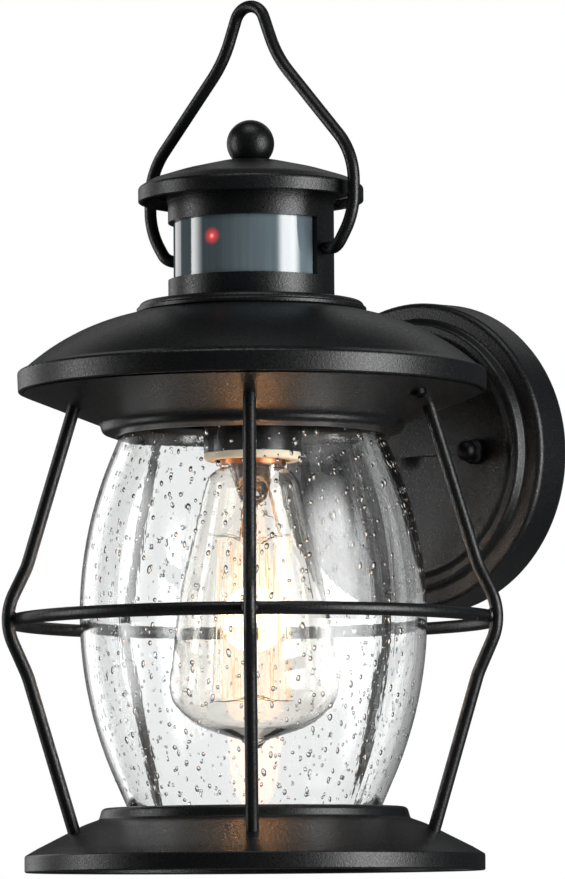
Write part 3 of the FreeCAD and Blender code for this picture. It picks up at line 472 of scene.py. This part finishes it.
class LANTERN_OT_stage(bpy.types.Operator):
    """Camera, softboxes, white surround and a pale floor"""
    bl_idname = "lantern.stage"
    bl_label = "Stage"

    def execute(self, context):
        self.camera(context)
        self.surround(context)
        self.floor(context)
        sizes = context.scene.lantern_sizes
        behind = CAMERA_AZIMUTH + 180
        for name, azimuth, rise, size, power, fades in (
                ("key_softbox", 95, 0.05, (0.86, 1.35), sizes.key_power, (0.3, 0.35)),
                ("fill_softbox", -50, 0.05, (0.5, 1.25), sizes.fill_power, (0.06, 0.8)),
                ("rear_softbox", -103, 0.05, (0.6, 1.2), sizes.rear_power, (0.2, 0.2)),
                ("top_softbox", CAMERA_AZIMUTH, 1.15, (1.0, 0.8), sizes.top_power, (0.3, 0.3)),
                ("sky_softbox", behind, 0.8, (2.2, 0.6), sizes.sky_power, (0.15, 0.15))):
            self.softbox(context, name, azimuth, rise, size, power, fades)
        self.bulb_light(context, sizes.bulb_power)
        return {"FINISHED"}

    def camera(self, context):
        """A long lens just below the lantern's foot, looking a little upwards."""
        azimuth, distance, eye_drop = math.radians(CAMERA_AZIMUTH), 2.287, 25.2 * MM
        aim_right, aim_up, tilt = math.radians(0.295), math.radians(4.82), math.radians(0.39)
        data = bpy.data.cameras.new("camera")
        data.lens = 241.6  # millimetres
        data.clip_end = 50
        camera = bpy.data.objects.new("camera", data)
        back = Vector((math.sin(azimuth), -math.cos(azimuth), 0))
        right = Vector((math.cos(azimuth), math.sin(azimuth), 0))
        camera.location = AXIS + back * distance + UP * (FOOT - eye_drop)
        ahead = -back * math.cos(aim_right) + right * math.sin(aim_right)
        ahead = ahead * math.cos(aim_up) + UP * math.sin(aim_up)
        turn = ahead.to_track_quat("-Z", "Y").to_matrix().to_4x4() @ Matrix.Rotation(-tilt, 4, "Z")
        camera.rotation_mode = "QUATERNION"
        camera.rotation_quaternion = turn.to_quaternion()
        context.scene.collection.objects.link(camera)
        context.scene.camera = camera

    def surround(self, context):
        """White where it is looked at, straight or through clear glass, dim for what is mirrored
        through glass, and dimmer still for everything else."""
        mirrored_level, ambient_level = 0.45, 0.05
        world = bpy.data.worlds.new("surround")
        world.use_nodes = True
        tree = world.node_tree
        tree.nodes.clear()
        rays = add_node(tree, "ShaderNodeLightPath")
        through = add_node(tree, "ShaderNodeMath", {
            0: rays.outputs["Transmission Depth"], 1: 0.5}, operation="GREATER_THAN")
        bounces = add_node(tree, "ShaderNodeMath", {
            0: rays.outputs["Glossy Depth"], 1: rays.outputs["Diffuse Depth"]}, operation="ADD")
        clear = add_node(tree, "ShaderNodeMapRange", {
            "Value": bounces.outputs["Value"], "To Min": 1.0, "To Max": mirrored_level})
        behind_glass = add_node(tree, "ShaderNodeMath", {
            0: through.outputs["Value"], 1: clear.outputs["Result"]}, operation="MULTIPLY")
        seen = add_node(tree, "ShaderNodeMath", {
            0: rays.outputs["Is Camera Ray"], 1: behind_glass.outputs["Value"]}, operation="MAXIMUM")
        white = add_node(tree, "ShaderNodeBackground", {"Color": (1, 1, 1, 1), "Strength": 1.0})
        grey = add_node(tree, "ShaderNodeBackground", {
            "Color": srgb("#E9EDF0"), "Strength": ambient_level})
        mix = add_node(tree, "ShaderNodeMixShader", {0: seen.outputs["Value"]})
        tree.links.new(grey.outputs["Background"], mix.inputs[1])
        tree.links.new(white.outputs["Background"], mix.inputs[2])
        add_node(tree, "ShaderNodeOutputWorld", {"Surface": mix.outputs["Shader"]})
        context.scene.world = world
        context.scene.view_settings.view_transform = "Standard"

    def floor(self, context):
        """Pale paper floor well below the lantern."""
        half, drop = 6.0, 1.4
        mesh = bpy.data.meshes.new("floor")
        corners = [(-half, -half), (half, -half), (half, half), (-half, half)]
        points = [(AXIS.x + x, AXIS.y + y, FOOT - drop) for x, y in corners]
        mesh.from_pydata(points, [], [(0, 1, 2, 3)])
        mesh.materials.append(backdrop_paper())
        floor = bpy.data.objects.new("floor", mesh)
        context.scene.collection.objects.link(floor)

    def softbox(self, context, name, azimuth, rise, size, power, fades):
        """A rectangular lamp facing the lantern from an azimuth, in degrees, and a height. Its light
        dies away towards its two upright edges over the given parts of its width."""
        overhead = rise > 1
        reach = 0.35 if overhead else 1.1
        aim_height = 20 * MM
        angle = math.radians(azimuth)
        data = bpy.data.lights.new(name, "AREA")
        data.shape = "RECTANGLE"
        data.size, data.size_y = size
        data.energy = power
        data.use_nodes = True
        tree = data.node_tree
        tree.nodes.clear()
        spread = add_node(tree, "ShaderNodeSeparateXYZ", {
            "Vector": add_node(tree, "ShaderNodeNewGeometry").outputs["Parametric"]})
        glow = None
        for axis, low, high in (("X", *fades), ("Y", 0.25, 0.25)):
            for start, end in ((0, low), (1, 1 - high)):
                rise_in = add_node(tree, "ShaderNodeMapRange", {
                    "Value": spread.outputs[axis], "From Min": start, "From Max": end},
                    interpolation_type="SMOOTHSTEP").outputs["Result"]
                glow = rise_in if glow is None else add_node(tree, "ShaderNodeMath", {
                    0: glow, 1: rise_in}, operation="MULTIPLY").outputs["Value"]
        lamp_face = add_node(tree, "ShaderNodeEmission", {"Strength": glow})
        add_node(tree, "ShaderNodeOutputLight", {"Surface": lamp_face.outputs["Emission"]})
        lamp = bpy.data.objects.new(name, data)
        centre = AXIS + UP * aim_height
        out = Vector((math.sin(angle), -math.cos(angle), 0)) * reach
        lamp.location = centre + out + UP * rise
        lamp.rotation_mode = "QUATERNION"
        lamp.rotation_quaternion = (centre - lamp.location).to_track_quat("-Z", "Y")
        context.scene.collection.objects.link(lamp)

    def bulb_light(self, context, power):
        """The filament's own warm light."""
        data = bpy.data.lights.new("filament_light", "POINT")
        data.energy = power
        data.color = srgb("#FFB066")[:3]
        data.shadow_soft_size = 14 * MM
        lamp = bpy.data.objects.new("filament_light", data)
        lamp.location = middle("bulb_filament")
        context.scene.collection.objects.link(lamp)


class LANTERN_OT_metalwork(bpy.types.Operator):
    """Powder coat on the spun and bent metal, and weld lumps where wires cross the ring"""
    bl_idname = "lantern.metalwork"
    bl_label = "Coated metalwork"

    def execute(self, context):
        wires = [name for name in NODES if name.startswith("cage_wire")]
        dress("coat", "canopy", "arm_tube", "roof", "roof_collar", "pan", "cage_ring", "base",
              "sensor_housing", "top_cap", "finial_ball", "bail", *wires)
        beads = bmesh.new()
        ring = middle("cage_ring")
        ring_radius = (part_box("cage_ring")[1].x - ring.x) - CAGE_RING_WIRE * MM
        for name in wires:
            out = (middle(name) - AXIS)
            out.z = 0
            out.normalize()
            self.bead(beads, AXIS + out * (ring_radius + 2.4 * MM) + UP * ring.z, out)
        piece("ring_welds", beads, "coat", FIXED, "powder_coat")
        return {"FINISHED"}

    def bead(self, shape, at, out):
        """A small lump of weld where a wire crosses the ring."""
        side = out.cross(UP)
        turn = Matrix((side, out, UP)).transposed().to_4x4()
        lump = Matrix.Diagonal((3.2 * MM, 1.9 * MM, 2.9 * MM, 1))
        bmesh.ops.create_icosphere(
            shape, subdivisions=3, radius=1, matrix=Matrix.Translation(at) @ turn @ lump)


class LANTERN_OT_shade(bpy.types.Operator):
    """Glass barrel with its seeds, and the rings that it rests on"""
    bl_idname = "lantern.shade"
    bl_label = "Glass shade"

    def execute(self, context):
        sizes = context.scene.lantern_sizes
        dress("shade_glass", "glass_shade")
        dress("silicone", "glass_gasket_top", "glass_gasket_bottom")
        draw = random.Random(11)
        radii = wall_profile("glass_shade")
        ball = bmesh.new()
        bmesh.ops.create_icosphere(ball, subdivisions=2, radius=1)
        corners = [corner.co.copy() for corner in ball.verts]
        sides = [[corner.index for corner in side.verts] for side in ball.faces]
        ball.free()
        points, faces = [], []
        low, high = SHADE_LOW.z + 6 * MM, SHADE_HIGH.z - 10 * MM
        rows = round(math.sqrt(sizes.seeds / 3))
        columns = sizes.seeds // rows
        for k in range(rows * columns):
            height = low + (high - low) * (k // columns + draw.random()) / rows
            outer, inner = radii(height)
            size = sizes.seed_radius * (0.36 + 0.6 * draw.random() ** 2)
            long = size * draw.choice((1.0, 1.15, 1.3, 1.6, 1.9))
            margin = 0.25 * MM + size
            reach = draw.uniform(inner + margin, outer - margin)
            angle = 2 * math.pi * (k % columns + draw.random()) / columns
            out = Vector((math.cos(angle), math.sin(angle), 0))
            place = self.seed(AXIS + out * reach + UP * height, out, size, long, draw.uniform(-0.25, 0.25))
            faces += [[len(points) + corner for corner in reversed(side)] for side in sides]
            points += [place @ corner for corner in corners]
        mesh = bpy.data.meshes.new("seeds")
        mesh.from_pydata(points, [], faces)
        seeds = bmesh.new()
        seeds.from_mesh(mesh)
        bpy.data.meshes.remove(mesh)
        piece("glass_seeds", seeds, "shade_glass", FIXED, "seeded_glass", sharp=180)
        return {"FINISHED"}

    def seed(self, at, out, size, long, lean):
        """Placing of one air bubble, drawn out upwards by the blowing."""
        turn = out.to_track_quat("X", "Z").to_matrix().to_4x4() @ Matrix.Rotation(lean, 4, "X")
        return Matrix.Translation(at) @ turn @ Matrix.Diagonal((size * 0.8, size, long, 1))


class LANTERN_OT_bulb(bpy.types.Operator):
    """Clear bulb with a threaded cap, a glass stem and a squirrel-cage filament"""
    bl_idname = "lantern.bulb"
    bl_label = "Bulb"

    def execute(self, context):
        dress("bulb_glass", "bulb_envelope", "bulb_stem")
        dress("tin", "bulb_contact")
        self.cap()
        self.filament(context.scene.lantern_sizes)
        self.lead_wires()
        return {"FINISHED"}

    def cap(self):
        """Rolled cap of coppery metal: a plain skirt and a round thread."""
        radius = (CAP_HIGH.x - CAP_LOW.x) / 2 / MM
        height = (CAP_HIGH.z - CAP_LOW.z) / MM
        place = Matrix.Translation((AXIS.x, AXIS.y, CAP_LOW.z))
        shape = bmesh.new()
        skirt, shoulder = 4.2, height - 3.6
        rings = thread(shape, place, radius, 0.9, SCREW_PITCH, skirt, shoulder)
        foot = (
            (radius - 0.6, 0), (radius - 0.1, 0), (radius, 0.3), (radius, skirt - 0.6),
            (radius - 0.45, skirt - 0.1))
        head = (
            (radius - 1.2, shoulder + 0.4), (radius - 3.2, height - 1.2), (6.2, height),
            (4.6, height), (4.4, height - 0.6))
        below, above = [
            grid_round(shape, [
                list(circle_points(r * MM, h * MM, SCREW_STEPS, place)) for r, h in outline])
            for outline in (foot, head)]
        join_rings(shape, below[-1], rings[0])
        join_rings(shape, rings[-1], above[0])
        bmesh.ops.recalc_face_normals(shape, faces=shape.faces)
        piece("bulb_screw_cap", shape, "copper", BULB, "cap_brass", "bulb_cap")

    def filament(self, sizes):
        """One hot wire that runs up and down between an upper and a lower ring of hooks."""
        low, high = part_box("bulb_filament")
        radius = (high.x - low.x) / 2 - 0.5 * MM
        draw = random.Random(5)
        path = []
        count = sizes.strands
        for k in range(count):
            angle = 2 * math.pi * (k + 0.15) / count
            out = Vector((math.cos(angle), math.sin(angle), 0))
            top = AXIS + out * radius * draw.uniform(0.8, 1.0) + UP * (high.z - draw.uniform(0, 2.5) * MM)
            bottom = AXIS + out * radius * draw.uniform(0.8, 1.0) + UP * (low.z + draw.uniform(0, 2.5) * MM)
            bow = (top + bottom) / 2 + out * draw.uniform(-0.8, 0.5) * MM
            ends = (top, bow, bottom) if k % 2 == 0 else (bottom, bow, top)
            path.extend(ends)
        strands = [path[k * 3:k * 3 + 4] if k < count - 1 else path[k * 3:] for k in range(count)]
        piece("hot_strands", tubes(strands, sizes.strand_radius), "filament", BULB,
              "filament_glow", "bulb_filament")
        self.hooks(radius, low.z, high.z, count)

    def hooks(self, radius, low, high, count):
        """Fine support wires that spring from the stem and curl round the strands."""
        paths = []
        for k in range(count // 2 * 2):
            angle = 2 * math.pi * (k + 0.15) / count
            out = Vector((math.cos(angle), math.sin(angle), 0))
            level, lift, root = (high, 2.2, 3.6) if k % 2 else (low, -1.6, 1.6)
            base = AXIS + out * root * MM + UP * (level - lift * 1.5 * MM)
            paths.append([
                base, AXIS + out * radius * 0.45 + UP * (level - lift * 0.2 * MM),
                AXIS + out * (radius - 1.4 * MM) + UP * (level + lift * 0.1 * MM),
                AXIS + out * (radius - 0.1 * MM) + UP * level,
            ])
        piece("strand_hooks", tubes(paths, 0.13 * MM, nurbs=True), "nickel", BULB, "support_wire",
              "filament_supports")

    def lead_wires(self):
        """Two bunches of fine wire from the stem's pinch to the filament, and the loose ends round it."""
        draw = random.Random(23)
        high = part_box("bulb_filament")[1].z
        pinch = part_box("bulb_stem")[1].z - 9 * MM
        bunches, ends = [], []
        for azimuth in (105, -121):
            angle = math.radians(azimuth)
            out = Vector((math.sin(angle), -math.cos(angle), 0))
            for _ in range(6):
                path = []
                for k in range(9):
                    part = k / 8
                    reach = (3.2 + 8.6 * part ** 0.7 + draw.uniform(-0.8, 0.8)) * MM
                    side = out.cross(UP) * draw.uniform(-1.3, 1.3) * MM
                    path.append(AXIS + out * reach + side + UP * (pinch + (high - 1 * MM - pinch) * part))
                bunches.append(path)
        for _ in range(7):
            angle = draw.uniform(0, 2 * math.pi)
            at = AXIS + Vector((math.cos(angle), math.sin(angle), 0)) * 5.5 * MM
            at.z = draw.uniform(high + 4 * MM, pinch)
            path = [at.copy()]
            for _ in range(7):
                at += Vector([draw.uniform(-1.7, 1.7) * MM for _ in range(3)])
                path.append(at.copy())
            ends.append(path)
        piece("lead_wires", tubes(bunches, 0.2 * MM, nurbs=True), "amber_wire", BULB, "support_wire")
        piece("loose_wire_ends", tubes(ends, 0.2 * MM, nurbs=True), "nickel", BULB, "support_wire")


class LANTERN_OT_lamp_holder(bpy.types.Operator):
    """Phenolic lamp holder with its ceramic rim and threaded shell"""
    bl_idname = "lantern.lamp_holder"
    bl_label = "Lamp holder"

    def execute(self, context):
        dress("phenolic", "socket_body")
        dress("ceramic", "socket_rim")
        dress("copper", "socket_contact")
        dress("zinc", "socket_hanger", "socket_nipple", "nipple_nuts", "housing_screws", "cap_rod")
        low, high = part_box("socket_shell")
        radius = (high.x - low.x) / 2 / MM - 0.15
        length = (high.z - low.z) / MM
        place = Matrix.Translation((AXIS.x, AXIS.y, low.z))
        shape = bmesh.new()
        inner = thread(shape, place, radius - 0.25, 0.7, SCREW_PITCH, 0.2, length - 1)
        outer = thread(shape, place, radius, 0.7, SCREW_PITCH, 0.2, length - 1)
        join_rings(shape, inner[0], outer[0])
        join_rings(shape, inner[-1], outer[-1])
        bmesh.ops.recalc_face_normals(shape, faces=shape.faces)
        piece("threaded_shell", shape, "copper", FIXED, "shell_brass", "socket_shell")
        return {"FINISHED"}


class LANTERN_OT_sensor_head(bpy.types.Operator):
    """Sensor window, indicator and the circuit behind them"""
    bl_idname = "lantern.sensor_head"
    bl_label = "Sensor head"

    def execute(self, context):
        look = context.scene.lantern_look
        radius = (LENS_HIGH.x - LENS_LOW.x) / 2
        led = middle("status_led")
        spot = Vector((led.x, AXIS.y - math.sqrt(radius ** 2 - led.x ** 2), led.z))
        FINISHES["lens"] = smoky_lens(look, spot)
        dress("lens", "sensor_lens")
        dress("board", "sensor_board")
        dress("tin", "pir_detector")
        dress("led", "status_led")
        dress("photocell", "photocell")
        dress("relay", "driver_module")
        return {"FINISHED"}


class LANTERN_OT_wall_fixings(bpy.types.Operator):
    """Mounting bar, threaded studs, thumb nuts and screws"""
    bl_idname = "lantern.wall_fixings"
    bl_label = "Wall fixings"

    def execute(self, context):
        dress("zinc", "mounting_bar", "arm_lock_nut")
        dress("green_zinc", "ground_screw")
        dress("foam", "canopy_gasket")
        dress("black_zinc", "pan_screws")
        self.studs()
        for side in ("left", "right"):
            self.thumb_nut(context.scene.lantern_sizes, side)
        return {"FINISHED"}

    def studs(self):
        """Two threaded studs that stand out from the mounting bar."""
        low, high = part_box("canopy_studs")
        radius = (high.z - low.z) / 2 / MM
        length = (high.y - low.y) / MM
        shape = bmesh.new()
        for x in (low.x + radius * MM, high.x - radius * MM):
            place = facing(Vector((x, high.y, (low.z + high.z) / 2)), OUTWARD)
            rings = thread(shape, place, radius, 0.28, 0.8, 0.1, length - 0.4, steps=24, per_turn=6)
            cap_ring(shape, rings[0][::-1])
            cap_ring(shape, rings[-1])
        bmesh.ops.recalc_face_normals(shape, faces=shape.faces)
        piece("threaded_studs", shape, "zinc", FIXED, "zinc_steel", "canopy_studs", sharp=80)

    def thumb_nut(self, sizes, side):
        """A knurled ring against the plate and a round ball in front of it."""
        node = f"canopy_nut_{side}"
        low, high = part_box(node)
        seat = Vector(((low.x + high.x) / 2, high.y, (low.z + high.z) / 2))
        place = facing(seat, OUTWARD)
        radius = (high.x - low.x) / 2 / MM
        length = (high.y - low.y) / MM
        steps = sizes.knurls * 4
        shape = bmesh.new()
        bore, grip, tooth = 2.2, radius - 0.35, 0.36
        outline = [(bore, length * 0.45), (bore, 0.05), (radius - 1.2, 0), (radius - 0.7, 0.3)]
        outline += [(grip, 0.7), (grip, length * 0.33), (radius - 0.8, length * 0.37)]
        ball = radius - 0.9
        centre = length - ball - 0.05
        for k in range(13):
            angle = math.radians(-36 + 126 * k / 12)
            outline.append((max(0.03, ball * math.cos(angle)), centre + ball * math.sin(angle)))
        rings = []
        for r, h in outline:
            knurled = abs(r - grip) < 0.01
            ring = []
            for k in range(steps):
                angle = 2 * math.pi * k / steps
                reach = (r + (tooth * math.cos(angle * sizes.knurls) if knurled else 0)) * MM
                ring.append(place @ Vector((reach * math.cos(angle), reach * math.sin(angle), h * MM)))
            rings.append(ring)
        made = grid_round(shape, rings)
        cap_ring(shape, made[0][::-1])
        cap_ring(shape, made[-1])
        bmesh.ops.recalc_face_normals(shape, faces=shape.faces)
        piece(f"thumb_nut_{side}", shape, "black_zinc", f"{side}_nut", "black_steel", node)


class LANTERN_PT_panel(bpy.types.Panel):
    """Buttons for each group of pieces, and their settings"""
    bl_idname = "LANTERN_PT_panel"
    bl_label = "Wall Lantern"
    bl_space_type = "VIEW_3D"
    bl_region_type = "UI"
    bl_category = "Lantern"

    def draw(self, context):
        for operator in OPERATORS:
            self.layout.operator(operator.bl_idname)
        for group in (context.scene.lantern_look, context.scene.lantern_sizes):
            for name in group.bl_rna.properties.keys():
                if name not in ("rna_type", "name"):
                    self.layout.prop(group, name)


OPERATORS = (
    LANTERN_OT_stage, LANTERN_OT_metalwork, LANTERN_OT_shade, LANTERN_OT_bulb,
    LANTERN_OT_lamp_holder, LANTERN_OT_sensor_head, LANTERN_OT_wall_fixings,
)
CLASSES = (LanternLook, LanternSizes, *OPERATORS, LANTERN_PT_panel)


def register():
    for made in CLASSES:
        bpy.utils.register_class(made)
    bpy.types.Scene.lantern_look = bpy.props.PointerProperty(type=LanternLook)
    bpy.types.Scene.lantern_sizes = bpy.props.PointerProperty(type=LanternSizes)


def unregister():
    del bpy.types.Scene.lantern_sizes
    del bpy.types.Scene.lantern_look
    for made in reversed(CLASSES):
        bpy.utils.unregister_class(made)


def main():
    register()
    bpy.ops.lantern.stage()
    bpy.ops.lantern.metalwork()
    bpy.ops.lantern.shade()
    bpy.ops.lantern.bulb()
    bpy.ops.lantern.lamp_holder()
    bpy.ops.lantern.sensor_head()
    bpy.ops.lantern.wall_fixings()


if __name__ == "__main__":
    main()
